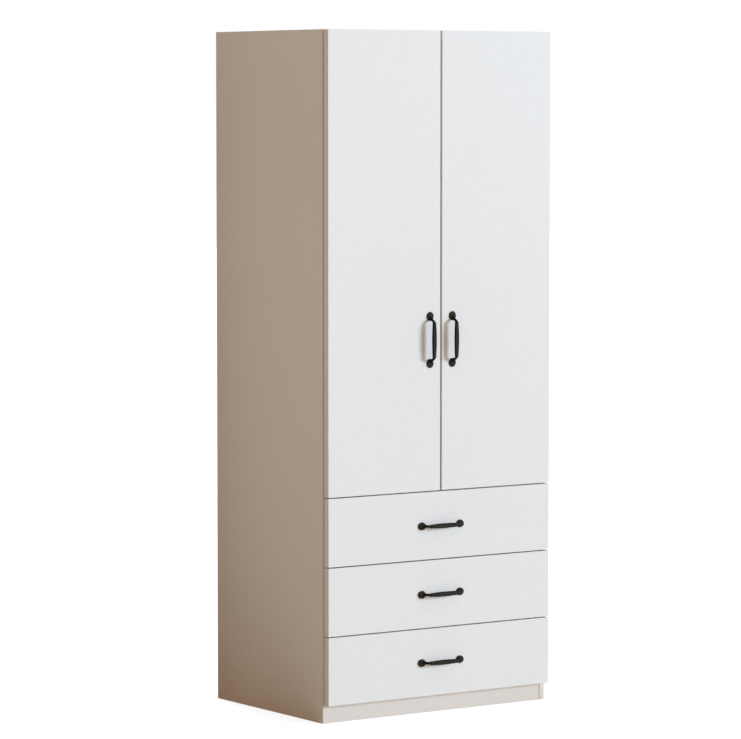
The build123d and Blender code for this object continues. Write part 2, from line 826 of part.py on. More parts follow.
def drawer_sides(index):
    """The two long sides of a drawer box."""
    low = drawer_box_bottoms[index]
    pieces = []
    for side in both_sides:
        body = block(
            side * drawer_inner_x,
            side * drawer_outer_x,
            front_back_y,
            drawer_rear_y,
            low,
            low + drawer_box_height,
        )
        cuts = [drawer_sheet_cut(low)]
        sunk_face = drawer_outer_x - plate_screw_head
        sunk_radius = plate_screw_head_radius + fit_play
        for y, z in corner_screw_sites(index):
            cuts.append(rod_x(side * drawer_inner_x, side * drawer_outer_x, y, z, screw_hole_radius))
            cuts.append(rod_x(side * sunk_face, side * drawer_outer_x, y, z, sunk_radius))
        bore_end = drawer_outer_x - runner_screw_length + runner_sheet
        screw_z = low + track_lift / 2
        for y in runner_screw_lines:
            cuts.append(rod_x(side * bore_end, side * drawer_outer_x, y, screw_z, screw_hole_radius))
        pieces.append(body - cuts)
    return group(pieces)


def drawer_ends(index):
    """The inner front and the back of a drawer box."""
    low = drawer_box_bottoms[index]
    high = low + drawer_box_height
    front = block(-drawer_inner_x, drawer_inner_x, front_back_y, front_back_y + drawer_board, low, high)
    rear = block(-drawer_inner_x, drawer_inner_x, drawer_rear_y - drawer_board, drawer_rear_y, low, high)
    cuts = [drawer_sheet_cut(low)]
    corner_depth = long_screw_length - drawer_board + plate_screw_head + bore_end_play
    for side in both_sides:
        for y, z in corner_screw_sites(index):
            deep = side * (drawer_inner_x - corner_depth)
            cuts.append(rod_x(side * drawer_inner_x, deep, y, z, screw_hole_radius))
    inner_face = front_back_y + drawer_board
    cuts += [rod_y(x, front_back_y, inner_face, z, screw_hole_radius) for x, z in front_screw_sites(index)]
    for x, z in handle_screw_sites(*drawer_handle_place(index)):
        cuts.append(rod_y(x, front_back_y, inner_face, z, handle_clear_hole))
    return group([front - cuts, rear - cuts])


def drawer_bottom(index):
    """The thin bottom sheet, held in grooves all round."""
    low = drawer_box_bottoms[index] + drawer_sheet_lift
    reach_x = drawer_inner_x + drawer_sheet_in_groove
    front = front_back_y + drawer_board - drawer_sheet_in_groove
    rear = drawer_rear_y - drawer_board + drawer_sheet_in_groove
    return block(-reach_x, reach_x, front, rear, low, low + drawer_sheet)


def drawer_screws(index):
    """Corner, front, runner and handle screws of one drawer."""
    low = drawer_box_bottoms[index]
    inner_face = front_back_y + drawer_board
    web_x = drawer_outer_x + runner_sheet
    pieces = []
    for side in both_sides:
        sunk_x = side * (drawer_outer_x - plate_screw_head)
        pieces += [seat(sunk_x, y, z, (-side, 0, 0)) * long_screw for y, z in corner_screw_sites(index)]
        for y in runner_screw_lines:
            pieces.append(seat(side * web_x, y, low + track_lift / 2, (-side, 0, 0)) * runner_screw)
    pieces += [seat(x, inner_face, z, (0, -1, 0)) * long_screw for x, z in front_screw_sites(index)]
    through = handle_screw(front_thickness + drawer_board)
    for x, z in handle_screw_sites(*drawer_handle_place(index)):
        pieces.append(seat(x, inner_face, z, (0, -1, 0)) * through)
    return group(pieces)


# Roller runners, with x counted inward from the inner face of the side panel
drawer_web_x = runner_space - runner_sheet
roller_inner_x = roller_from_web + roller_width


def inward(side, x):
    """The X of a point that lies x inward from a side panel's inner face."""
    return side * (inner_x - x)


def front_roller_z(track):
    """Axle height of the roller on the case, which carries the drawer's flange."""
    return track + running_flange_lift - roller_flange_play - roller_radius


def rear_roller_z(track):
    """Axle height of the roller on the drawer, which runs on the track."""
    return track + roller_run_play + roller_radius


def roller(side, y, z):
    """A nylon roller with rounded rims, bored for its axle."""
    wheel = rod_x(inward(side, roller_from_web), inward(side, roller_inner_x), y, z, roller_radius)
    wheel = fillet(wheel.edges().filter_by(GeomType.CIRCLE), roller_round)
    return wheel - rod_x(inward(side, 0), inward(side, runner_space), y, z, axle_radius + fit_play)


def cabinet_runner(side, track):
    """A channel screwed to the side panel, and the riveted axle of its front roller."""
    low = track - runner_sheet
    high = track + top_flange_lift + runner_sheet
    lip = drawer_web_x - flange_play
    y0 = runner_front_y
    y1 = drawer_rear_y
    web = block(inward(side, 0), inward(side, runner_sheet), y0, y1, low, high)
    lower = block(inward(side, 0), inward(side, lip), y0, y1, low, track)
    upper = block(inward(side, 0), inward(side, lip), y0, y1, high - runner_sheet, high)
    axle_z = front_roller_z(track)
    wall = inward(side, 0)
    web_face = inward(side, runner_sheet)
    cuts = [rod_x(wall, web_face, front_roller_y, axle_z, axle_radius + screw_play)]
    screw_z = track + cabinet_runner_middle
    cuts += [rod_x(wall, web_face, y, screw_z, screw_hole_radius) for y in runner_screw_lines]
    head_start = inward(side, roller_inner_x + axle_head_play)
    head_end = inward(side, roller_inner_x + axle_head_play + axle_head)
    axle = rod_x(wall, head_start, front_roller_y, axle_z, axle_radius)
    axle += rod_x(head_start, head_end, front_roller_y, axle_z, axle_head_radius)
    return [web + lower + upper - cuts, axle]


def drawer_runner(side, bottom):
    """The angled strip under a drawer side, and the riveted axle of its rear roller."""
    track = bottom + track_lift
    y0 = front_back_y + runner_sheet
    y1 = drawer_rear_y
    flange_high = track + running_flange_lift + runner_sheet
    start = runner_sheet + flange_play
    web_x = inward(side, drawer_web_x)
    web_back = inward(side, runner_space)
    web = block(web_x, web_back, y0, y1, bottom - runner_sheet, flange_high)
    shelf = block(web_x, inward(side, runner_space + under_flange), y0, y1, bottom - runner_sheet, bottom)
    flange = block(inward(side, start), web_back, y0, y1, flange_high - runner_sheet, flange_high)
    axle_z = rear_roller_z(track)
    cuts = [rod_x(web_x, web_back, rear_roller_y, axle_z, axle_radius + screw_play)]
    for y in runner_screw_lines:
        cuts.append(rod_x(web_x, web_back, y, bottom + track_lift / 2, screw_hole_radius))
    head_start = inward(side, roller_from_web - axle_head_play)
    head_end = inward(side, roller_from_web - axle_head_play - axle_head)
    axle = rod_x(web_back, head_start, rear_roller_y, axle_z, axle_radius)
    axle += rod_x(head_start, head_end, rear_roller_y, axle_z, axle_head_radius)
    return [web + shelf + flange - cuts, axle]


def carcass_screws():
    """Every wood screw of the case."""
    pieces = []
    for side in both_sides:
        outward = (side, 0, 0)
        for y, z, height in hinge_plate_seats + hinge_arm_seats + rail_seats:
            pieces.append(seat(inward(side, height), y, z, outward) * plate_screw)
        for y, z, height in runner_seats:
            pieces.append(seat(inward(side, height), y, z, outward) * runner_screw)
    for x, y in wall_bracket_screws:
        pieces.append(seat(x, y, top_panel_z - bracket_sheet, (0, 0, 1)) * plate_screw)
    return group(pieces)


def bumper(x, z):
    """A soft dome that a closed front rests against."""
    height = front_standoff - bumper_play
    dome = rod_y(x, carcass_front_y - height, carcass_front_y, z, bumper_radius)
    return fillet(dome.edges().sort_by(Axis.Y)[0], min(height, bumper_radius) * bumper_round_share)


def bumpers():
    """Two for each door on the fixed panels, two for each drawer on the side panels."""
    pieces = []
    door_low = (door_bottom_z + middle_panel_z + board) / 2
    door_high = top_panel_z + board / 2
    for side in both_sides:
        x = side * (door_pair_gap / 2 + bumper_from_gap)
        pieces += [bumper(x, z) for z in (door_low, door_high)]
        edge_x = side * (half_width - board / 2)
        pieces += [bumper(edge_x, z + drawer_front_height / 2) for z in drawer_front_bottoms]
    return group(pieces)


os.makedirs("parts", exist_ok=True)


def save(shape, node):
    """Write one node."""
    export_step(shape, f"parts/{node}.step")
    print(node, len(shape.solids()))


def save_case():
    """The fixed case and everything fastened to it."""
    save(side_panel(left), "side_panel_left")
    save(side_panel(right), "side_panel_right")
    save(top_panel(), "top_panel")
    save(fixed_panel(middle_panel_z, panel_rear_y), "middle_panel")
    save(fixed_panel(bottom_panel_z, panel_rear_y), "bottom_panel")
    save(plinth(plinth_front_line), "plinth_front")
    save(plinth(plinth_rear_line), "plinth_rear")
    save(back_sheet_half(left), "back_panel_left")
    save(back_sheet_half(right), "back_panel_right")
    save(back_joint_strip(), "back_joint_strip")
    save(hat_shelf(), "hat_shelf")
    save(group([shelf_pin(side, y) for side in both_sides for y in shelf_pin_lines]), "shelf_pins")
    save(hanging_rail(), "hanging_rail")
    save(group([rail_holder(side) for side in both_sides]), "rail_holders")
    save(group([wall_bracket(x) for x in wall_bracket_lines]), "wall_brackets")
    locks = [cam_lock(s, y, z) for s in both_sides for z in fixed_panel_levels for y in cam_lines]
    save(group(locks), "cam_locks")
    save(group([cam_bolt(side, y, z) for side in both_sides for y, z in bolt_sites]), "cam_bolts")
    save(group([dowel(side, y, z) for side in both_sides for y, z in dowel_sites]), "dowels")
    save(group([hinge_plate(side, z) for side in both_sides for z in hinge_levels]), "hinge_plates")
    save(group([hinge_arm(side, z) for side in both_sides for z in hinge_levels]), "hinge_arms")
    runners = [piece for s in both_sides for track in track_levels for piece in cabinet_runner(s, track)]
    save(group(runners), "cabinet_runners")
    save(carcass_screws(), "carcass_screws")
    save(bumpers(), "bumpers")


def save_door(side, name):
    """One door with its hinge halves, handle and screws."""
    save(door(side), f"{name}_door")
    save(group([hinge_cup(side, z) for z in hinge_levels]), f"{name}_hinge_cups")
    save(group([hinge_pin(side, z) for z in hinge_levels]), f"{name}_hinge_pins")
    save(place_handle(*door_handle_place(side)), f"{name}_door_handle")
    save(door_screws(side), f"{name}_door_screws")


def save_drawer(index):
    """One drawer, its runners and the rollers that belong to it."""
    name = f"drawer_{index + 1}"
    bottom = drawer_box_bottoms[index]
    track = track_levels[index]
    save(drawer_front(index), f"{name}_front")
    save(drawer_sides(index), f"{name}_sides")
    save(drawer_ends(index), f"{name}_ends")
    save(drawer_bottom(index), f"{name}_bottom")
    save(place_handle(*drawer_handle_place(index)), f"{name}_handle")
    save(drawer_screws(index), f"{name}_screws")
    runners = [piece for side in both_sides for piece in drawer_runner(side, bottom)]
    save(group(runners), f"{name}_runners")
    front_z = front_roller_z(track)
    rear_z = rear_roller_z(track)
    save(group([roller(side, front_roller_y, front_z) for side in both_sides]), f"{name}_front_rollers")
    save(group([roller(side, rear_roller_y, rear_z) for side in both_sides]), f"{name}_rear_rollers")


save_case()
save_door(left, "left")
save_door(right, "right")
for drawer_index in range(drawer_count):
    save_drawer(drawer_index)

print("hinge axes x", across(left, pivot_from_side), across(right, pivot_from_side), "y", pivot_y)
print("roller axles y", front_roller_y, rear_roller_y)
print("front roller z", [front_roller_z(t) for t in track_levels])
print("rear roller z", [rear_roller_z(t) for t in track_levels])
print("wall holes z", wall_hole_z, "y", sheet_front_y, sheet_rear_y)
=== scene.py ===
# %% [markdown]
# # A two-door wardrobe with three drawers
#
# The wardrobe comes into Blender as a finished frame: every board, hinge, runner and screw is
# already there at its real size and in its real place, in metres. This lesson adds the looks.
# We set up a camera and a small studio, then mix one finish after another, and give each piece
# of the wardrobe the finish that the real one has.

import json
import math

import bpy
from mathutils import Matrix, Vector


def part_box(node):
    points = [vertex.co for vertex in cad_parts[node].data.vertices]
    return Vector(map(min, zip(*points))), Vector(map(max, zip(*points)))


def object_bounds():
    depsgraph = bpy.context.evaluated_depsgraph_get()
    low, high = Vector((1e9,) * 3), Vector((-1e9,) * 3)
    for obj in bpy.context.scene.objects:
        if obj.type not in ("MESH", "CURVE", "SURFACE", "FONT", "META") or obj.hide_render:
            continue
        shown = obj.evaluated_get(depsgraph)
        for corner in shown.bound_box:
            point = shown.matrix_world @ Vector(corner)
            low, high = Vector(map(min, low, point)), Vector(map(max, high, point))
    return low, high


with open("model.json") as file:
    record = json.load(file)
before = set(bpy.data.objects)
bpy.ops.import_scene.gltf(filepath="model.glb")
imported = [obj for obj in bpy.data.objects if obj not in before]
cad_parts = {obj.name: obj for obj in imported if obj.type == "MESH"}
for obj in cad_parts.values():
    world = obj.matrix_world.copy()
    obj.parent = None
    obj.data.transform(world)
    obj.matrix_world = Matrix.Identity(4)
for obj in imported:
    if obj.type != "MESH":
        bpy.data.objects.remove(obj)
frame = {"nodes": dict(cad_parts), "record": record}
cad_low, cad_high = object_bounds()
nodes = frame["nodes"]
middle = (cad_low + cad_high) / 2

# %% [markdown]
# ## The camera
#
# The photograph was taken from far away with a long lens, so the wardrobe's edges stay almost
# parallel. We could drag a camera about by eye, but two angles and a distance say the same
# thing in a way that can be read later: how far round to the left, how high, and how far off.

# %% Place the camera
photo_lens = 181.92
photo_azimuth = math.radians(-34.467)
photo_pitch = math.radians(4.096)
photo_distance = 11.186
far_limit = 200
aim = middle + Vector((-0.0379, 0.0256, -0.0047))


def direction(azimuth, height):
    """The way from the wardrobe to something that stands round it: 0 is straight in front."""
    flat = math.cos(height)
    return Vector((math.sin(azimuth) * flat, -math.cos(azimuth) * flat, math.sin(height)))


def look_at(thing, target):
    """Turn a camera or a lamp towards a point."""
    thing.rotation_euler = (target - thing.location).to_track_quat("-Z", "Y").to_euler()


def put_in_scene(name, data):
    """Make an object from a camera, a lamp or a mesh, and put it in the scene."""
    thing = bpy.data.objects.new(name, data)
    bpy.context.scene.collection.objects.link(thing)
    return thing


camera_data = bpy.data.cameras.new("photo_camera")
camera_data.lens = photo_lens
camera_data.clip_end = far_limit
camera = put_in_scene("photo_camera", camera_data)
camera.location = aim + photo_distance * direction(photo_azimuth, photo_pitch)
look_at(camera, aim)
bpy.context.scene.camera = camera
bpy.context.scene.view_settings.view_transform = "Standard"
print("camera at", [round(v, 3) for v in camera.location])

# %% [markdown]
# ## A small kit for nodes
#
# A finish in Blender is a graph of nodes. Adding and linking them one by one takes many lines,
# so we write a few helpers once: one adds any node, two do arithmetic on numbers and on
# vectors, one mixes two colours. A value given to a socket may be a number or the output of
# another node.

# %% Node helpers
def set_socket(tree, socket, value):
    """Link a node's output to a socket, or write a plain value into it."""
    if isinstance(value, bpy.types.NodeSocket):
        tree.links.new(value, socket)
    else:
        socket.default_value = value


def add_node(tree, kind, sockets=None, **settings):
    """Add a node, set its options, and set or link its sockets."""
    made = tree.nodes.new("ShaderNode" + kind)
    for name, value in settings.items():
        setattr(made, name, value)
    for name, value in (sockets or {}).items():
        set_socket(tree, made.inputs[name], value)
    return made


def sum_up(tree, operation, first, second=0.0):
    """The result of one sum on two values."""
    return add_node(tree, "Math", {0: first, 1: second}, operation=operation).outputs[0]


def sum_vectors(tree, operation, first, second=(0.0, 0.0, 0.0), result="Vector"):
    """The result of one sum on two vectors."""
    return add_node(tree, "VectorMath", {0: first, 1: second}, operation=operation).outputs[result]


def blend_colours(tree, share, first, second):
    """The first colour where share is 0, the second where it is 1."""
    mixer = add_node(tree, "Mix", data_type="RGBA")
    pairs = {"Factor_Float": share, "A_Color": first, "B_Color": second}
    for socket in mixer.inputs:
        if socket.identifier in pairs:
            set_socket(tree, socket, pairs[socket.identifier])
    return next(s for s in mixer.outputs if s.identifier == "Result_Color")


def remap(tree, value, low, high, new_low=0.0, new_high=1.0):
    """Move a range of values onto another one and stop at its ends."""
    limits = {
        "Value": value, "From Min": low, "From Max": high, "To Min": new_low, "To Max": new_high,
    }
    return add_node(tree, "MapRange", limits).outputs["Result"]


print("node helpers ready")

# %% [markdown]
# Two more helpers are for finishes. We write colours as they read on a screen, 0 to 255, while
# shaders count in amounts of light, so each colour is turned over once. And every finish starts
# in the same way, from a material with a few values that are the same all over.

# %% Colours and new finishes
def paint(red, green, blue):
    """A colour as it reads on a screen, turned into the linear values that shaders use."""
    shares = [value / 255 for value in (red, green, blue)]
    linear = [s / 12.92 if s <= 0.04045 else ((s + 0.055) / 1.055) ** 2.4 for s in shares]
    return (*linear, 1.0)


def new_finish(name, **constants):
    """A material whose shader has these values all over."""
    finish = bpy.data.materials.new(name)
    finish.use_nodes = True
    shader = finish.node_tree.nodes["Principled BSDF"]
    for socket, value in constants.items():
        shader.inputs[socket.replace("_", " ")].default_value = value
    return finish, finish.node_tree, shader


white = (1.0, 1.0, 1.0, 1.0)
black = (0.0, 0.0, 0.0, 1.0)
print("mid grey is", [round(v, 3) for v in paint(128, 128, 128)])

# %% [markdown]
# ## The studio
#
# The photograph has a white background and two kinds of light: warm light from the whole room,
# which is all that the left side gets, and a cool window to the right of the front. The world
# is the room. Rays that come straight from the camera, or off something shiny, see plain white
# instead, so the background is white without putting more light on the wardrobe.

# %% World light
room_light = (0.414, 0.328, 0.232, 1.0)


def seen_directly(tree):
    """1 for rays from the camera, off a mirror or through glass, and 0 for rays of soft light."""
    path = add_node(tree, "LightPath").outputs
    shiny = sum_up(tree, "MAXIMUM", path["Is Glossy Ray"], path["Is Transmission Ray"])
    return sum_up(tree, "MAXIMUM", path["Is Camera Ray"], shiny)


world = bpy.data.worlds.new("studio_world")
world.use_nodes = True
bpy.context.scene.world = world
sky = world.node_tree
sky_colour = blend_colours(sky, seen_directly(sky), room_light, white)
sky.links.new(sky_colour, sky.nodes["Background"].inputs["Color"])
print("room light", room_light[:3])

# %% [markdown]
# ## What the floor throws back
#
# In the photograph the foot of the shaded side goes brown from what the wardrobe stands on. So
# the light that comes back from the floor isn't the same all over: it is dark and brown in the
# wardrobe's own shade, a little darker right at its foot, and brighter further off. The shade
# lies to the left of the case and behind its front corner, on the side away from the window.

# %% Shade on the floor
window_azimuth = 47
foot_low, foot_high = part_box("side_panel_left")
shade_middle = (-0.476, -0.012, 0.0)
shade_reach = 0.795
shade_falloff = 4.0
shade_corner = (cad_low.x, foot_low.y, 0.0)
window_angle = math.radians(window_azimuth)
across_shade = (math.cos(window_angle), math.sin(window_angle), 0.0)
side_edge = {"From Min": -0.12, "From Max": -0.02}
front_edge = {"From Min": 0.0, "From Max": 0.03}


def soft_step(tree, value, edge):
    """0 before an edge and 1 past it, with a smooth ramp between."""
    sockets = {"Value": value, **edge}
    return add_node(tree, "MapRange", sockets, interpolation_type="SMOOTHSTEP").outputs["Result"]


def floor_shade(tree, where):
    """1 in the middle of the wardrobe's shade, and 0 outside it."""
    away = sum_vectors(tree, "DISTANCE", where, shade_middle, "Value")
    spread = sum_up(tree, "POWER", sum_up(tree, "DIVIDE", away, shade_reach), shade_falloff)
    near = sum_up(tree, "DIVIDE", 1.0, sum_up(tree, "ADD", spread, 1.0))
    from_corner = sum_vectors(tree, "SUBTRACT", where, shade_corner)
    past = sum_vectors(tree, "DOT_PRODUCT", from_corner, across_shade, "Value")
    behind = add_node(tree, "SeparateXYZ", {"Vector": from_corner}).outputs["Y"]
    past_side, past_front = soft_step(tree, past, side_edge), soft_step(tree, behind, front_edge)
    return sum_up(tree, "MULTIPLY", near, sum_up(tree, "MULTIPLY", past_side, past_front))


print("shade starts at", [round(v, 3) for v in shade_corner])

# %% [markdown]
# The floor looks white in the picture but still takes the wardrobe's shadow: it glows for the
# camera, and the lamps do the rest. Only rays of soft light see the bounce from above.

# %% Pale floor
floor_size = 60.0
floor_drop = 0.0005
pale_floor = paint(176, 176, 176)
floor_glow = (0.80, 0.82, 0.84, 1.0)
near_bounce = (0.51, 0.43, 0.335, 1.0)
far_bounce = (0.60, 0.54, 0.47, 1.0)
far_from, far_to = 0.3, 2.5
shaded_bounce = (0.17, 0.05, 0.0, 1.0)
foot_middle = (0.0, (foot_low.y + foot_high.y) / 2, 0.0)
foot_half = (-cad_low.x, (foot_high.y - foot_low.y) / 2, 1.0)
contact_reach = 0.12
contact_shade = 0.12


def floor_finish():
    """White for the camera with soft shadows, and a warm bounce that darkens in the shade."""
    finish, tree, shader = new_finish(
        "studio_floor", Roughness=1.0, Specular_IOR_Level=0.0, Emission_Strength=1.0
    )
    seen = seen_directly(tree)
    where = add_node(tree, "TexCoord").outputs["Object"]
    beside = sum_vectors(tree, "ABSOLUTE", sum_vectors(tree, "SUBTRACT", where, foot_middle))
    beside = sum_vectors(tree, "MAXIMUM", sum_vectors(tree, "SUBTRACT", beside, foot_half))
    off_foot = sum_vectors(tree, "LENGTH", beside, result="Value")
    far = remap(tree, off_foot, far_from, far_to)
    open_floor = blend_colours(tree, far, near_bounce, far_bounce)
    lit = blend_colours(tree, floor_shade(tree, where), open_floor, shaded_bounce)
    contact = remap(tree, off_foot, 0.0, contact_reach, contact_shade, 0.0)
    bounce = blend_colours(tree, contact, lit, black)
    tree.links.new(blend_colours(tree, seen, black, pale_floor), shader.inputs["Base Color"])
    tree.links.new(blend_colours(tree, seen, bounce, floor_glow), shader.inputs["Emission Color"])
    return finish


def flat_sheet(name, corners, finish):
    """A flat sheet with four corners, for the studio."""
    mesh = bpy.data.meshes.new(name)
    mesh.from_pydata(corners, [], [(0, 1, 2, 3)])
    mesh.materials.append(finish)
    return put_in_scene(name, mesh)


half = floor_size / 2
floor_corners = [(-half, -half, 0), (half, -half, 0), (half, half, 0), (-half, half, 0)]
floor = flat_sheet("floor", floor_corners, floor_finish())
floor.location.z = cad_low.z - floor_drop
print("floor", floor_size, "m across")

# %% [markdown]
# ## A dark card
#
# The shaded side is darkest along its rear edge, as if a dark corner of the room stood behind
# it. A studio does this with a dark card. Only soft light sees it, so it never shows up in the
# picture, throws no shadow and leaves no reflection.

# %% Card behind the left edge
card_width = 0.25
card_height = 2.1
card_gap = 0.05
card_foot_glow = (0.12, 0.05, 0.0, 1.0)
card_top_glow = (0.27, 0.21, 0.16, 1.0)


def card_finish():
    """A surface with a dim warm glow that gets darker towards its foot."""
    finish, tree, shader = new_finish(
        "studio_card", Base_Color=black, Specular_IOR_Level=0.0, Emission_Strength=1.0
    )
    where = add_node(tree, "TexCoord").outputs["Object"]
    height = add_node(tree, "SeparateXYZ", {"Vector": where}).outputs["Z"]
    rise = remap(tree, height, 0.0, card_height)
    glow = blend_colours(tree, rise, card_foot_glow, card_top_glow)
    tree.links.new(glow, shader.inputs["Emission Color"])
    return finish


card_y = cad_high.y + card_gap
card_left, card_right = cad_low.x - card_width, cad_low.x
card_corners = [
    (card_left, card_y, 0), (card_right, card_y, 0),
    (card_right, card_y, card_height), (card_left, card_y, card_height),
]
card = flat_sheet("dark_card", card_corners, card_finish())
for kind in ("camera", "glossy", "transmission", "shadow"):
    setattr(card, "visible_" + kind, False)
print("dark card at y", round(card_y, 3))

# %% [markdown]
# ## The lamps
#
# The shadows that the handles throw tell where the window is: they fall as far to the left as
# the grips stand out, and hardly down at all, so the light comes in from the right at about 47
# degrees and almost level. A sun lamp gives the same light over the whole front, and its angle
# sets how soft the shadows are. A second, weaker one stands high behind the right end: it lights
# the top and the back for the other views and doesn't reach the two faces in this one. Neither
# shows in shiny surfaces, because a lamp this strong, mirrored at a flat angle, turns the top of
# the case into a white patch when it is seen from behind.

# %% Window and room lamps
lamp_distance = 6.0
lamps = {
    "window": {
        "azimuth": window_azimuth, "height": 10, "softness": 19,
        "strength": 2.96, "colour": (0.75, 0.868, 1.0),
    },
    "room_lamp": {
        "azimuth": 165, "height": 50, "softness": 18,
        "strength": 2.0, "colour": (0.82, 0.92, 1.0),
    },
}


def add_lamp(name, azimuth, height, softness, strength, colour):
    """A lamp with parallel light that comes from the given direction."""
    data = bpy.data.lights.new(name, "SUN")
    data.energy = strength
    data.color = colour
    data.angle = math.radians(softness)
    lamp = put_in_scene(name, data)
    way = direction(math.radians(azimuth), math.radians(height))
    lamp.location = middle + lamp_distance * way
    look_at(lamp, middle)
    lamp.visible_glossy = False


for lamp_name, choice in lamps.items():
    add_lamp(lamp_name, **choice)
print("lamps", ", ".join(lamps))

# %% [markdown]
# ## The near edge of the window
#
# The right door gets a little brighter and cooler towards its top corner, so the window ends
# not far from there. A sun lamp can't do that, because its light is the same everywhere. A weak
# round lamp that is close enough to fade over the length of a door adds it.

# %% Window edge lamp
window_edge = Vector((1.2, -1.6, 2.4))
lit_corner = Vector((cad_high.x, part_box("right_door")[0].y, cad_high.z))
edge_data = bpy.data.lights.new("window_edge", "AREA")
edge_data.shape = "DISK"
edge_data.size = 0.9
edge_data.energy = 3.0
edge_data.color = (0.66, 0.80, 1.0)
edge_lamp = put_in_scene("window_edge", edge_data)
edge_lamp.location = window_edge
look_at(edge_lamp, lit_corner)
edge_lamp.visible_camera = False
edge_lamp.visible_glossy = False
print("window edge lamp", round((window_edge - lit_corner).length, 2), "m from the corner")

# %% [markdown]
# ## Textures in the piece's own space
#
# A board has no picture wrapped round it, so its texture is worked out in space. We take the
# piece's own coordinates, in metres: they move with a door or a drawer, so the grain stays put
# when it opens. One noise texture with a chosen fineness does most of the work: clouds in the
# colour, patches in the gloss, and tiny bumps. Its values crowd round one half, so a finish
# that uses all of its range spreads the middle of the noise out.

# %% Texture helpers
even = (1.0, 1.0, 1.0)
cloud_span = (0.3, 0.7)
narrow_span = (0.35, 0.65)
two_cloud_span = (0.7, 1.3)


def own_space(tree, stretch=even):
    """The piece's own coordinates, in metres, squeezed or stretched along each axis."""
    place = add_node(tree, "TexCoord").outputs["Object"]
    return place if stretch == even else sum_vectors(tree, "MULTIPLY", place, stretch)


def clouds(tree, place, per_metre, detail=2.0):
    """Soft random patches, so many to the metre."""
    sockets = {"Vector": place, "Scale": per_metre, "Detail": detail}
    return add_node(tree, "TexNoise", sockets).outputs["Fac"]


def two_clouds(tree, place, fine, broad):
    """Fine patches on top of broad ones, each so many to the metre."""
    return sum_up(tree, "ADD", clouds(tree, place, fine), clouds(tree, place, broad))


def facing(tree, axis, start=0.85, full=0.95):
    """1 on faces that look along an axis of the piece, such as +Y for its rear."""
    normal = add_node(tree, "TexCoord").outputs["Normal"]
    return remap(tree, sum_vectors(tree, "DOT_PRODUCT", normal, axis, "Value"), start, full)


front, rear, under = (0.0, -1.0, 0.0), (0.0, 1.0, 0.0), (0.0, 0.0, -1.0)
print("texture helpers ready")

# %% [markdown]
# The noise then goes to one of three places on the shader: its colour, its roughness, or its
# normal, where it makes relief. Each gets a helper, so that a finish reads as a short recipe.

# %% Shader helpers
def set_colour(tree, shader, colour):
    """Use a worked-out colour as the surface's own."""
    tree.links.new(colour, shader.inputs["Base Color"])


def set_gloss(tree, shader, pattern, smooth, rough):
    """Roughness that wanders between two values with a cloud pattern."""
    tree.links.new(remap(tree, pattern, *cloud_span, smooth, rough), shader.inputs["Roughness"])


def set_part_gloss(tree, shader, pattern, smooth, rough, bare, more):
    """The same, and rougher by some more where the board is bare."""
    skin = remap(tree, pattern, *cloud_span, smooth, rough)
    gloss = sum_up(tree, "ADD", skin, sum_up(tree, "MULTIPLY", bare, more))
    tree.links.new(gloss, shader.inputs["Roughness"])


def set_relief(tree, shader, height, depth):
    """Fine relief of the given depth in metres."""
    bump = add_node(tree, "Bump", {"Height": height, "Distance": depth, "Strength": 1.0})
    tree.links.new(bump.outputs["Normal"], shader.inputs["Normal"])


finishes = {}
print("shader helpers ready")

# %% [markdown]
# ## Lacquered fronts
#
# The doors and the drawer fronts are fibreboard under a satin lacquer, a cool white. Sprayed
# lacquer is never quite flat: it has a faint orange peel a few millimetres across, and the
# white drifts by less than one part in a hundred over a hand's width. Both are barely seen, but
# without them the front looks like a flat cut-out. Only the face is lacquered: the rear and the
# banded edges have the warmer white of the case, so we ask each face which way it looks.

# %% Finish of the fronts
lacquer_tones = paint(228, 229, 230), paint(232, 233, 234)
skin_tones = paint(221, 216, 211), paint(225, 220, 215)


def lacquer_finish():
    """Cool white satin lacquer on the face, and warm white on the edges and the rear."""
    finish, tree, shader = new_finish("front_board", Specular_IOR_Level=0.3)
    place = own_space(tree)
    share = remap(tree, two_clouds(tree, place, fine=90.0, broad=1.2), *two_cloud_span)
    lacquer = blend_colours(tree, share, *lacquer_tones)
    skin = blend_colours(tree, share, *skin_tones)
    set_colour(tree, shader, blend_colours(tree, facing(tree, front), skin, lacquer))
    set_gloss(tree, shader, clouds(tree, place, per_metre=35.0), smooth=0.40, rough=0.50)
    set_relief(tree, shader, clouds(tree, place, per_metre=330.0, detail=1.0), depth=0.00002)
    return finish


finishes["front_board"] = lacquer_finish()
print("made the finish of the fronts")

# %% [markdown]
# ## Case boards
#
# The case is chipboard under white melamine, a little warmer than the fronts and pressed with a
# fine pearl grain. Where the saw or the drill has gone through the skin, the brown chips show:
# on the rear edges, which get no edge band, and inside the spare holes for the shelf pins. To
# know what is inside we measure how deep a point lies under the board's own box.

# %% Bare chipboard
chip_tones = paint(134, 102, 68), paint(206, 176, 136)
chips_per_metre = 420.0
chip_share = 0.6
chip_span = (0.35, 1.1)


def depth_inside(tree, place, low, high):
    """How far a point lies inside a box, in the direction in which that is least."""
    from_low = sum_vectors(tree, "SUBTRACT", place, low)
    from_high = sum_vectors(tree, "SUBTRACT", high, place)
    nearest = sum_vectors(tree, "MINIMUM", from_low, from_high)
    inside = add_node(tree, "SeparateXYZ", {"Vector": nearest}).outputs
    flat = sum_up(tree, "MINIMUM", inside["X"], inside["Y"])
    return sum_up(tree, "MINIMUM", flat, inside["Z"])


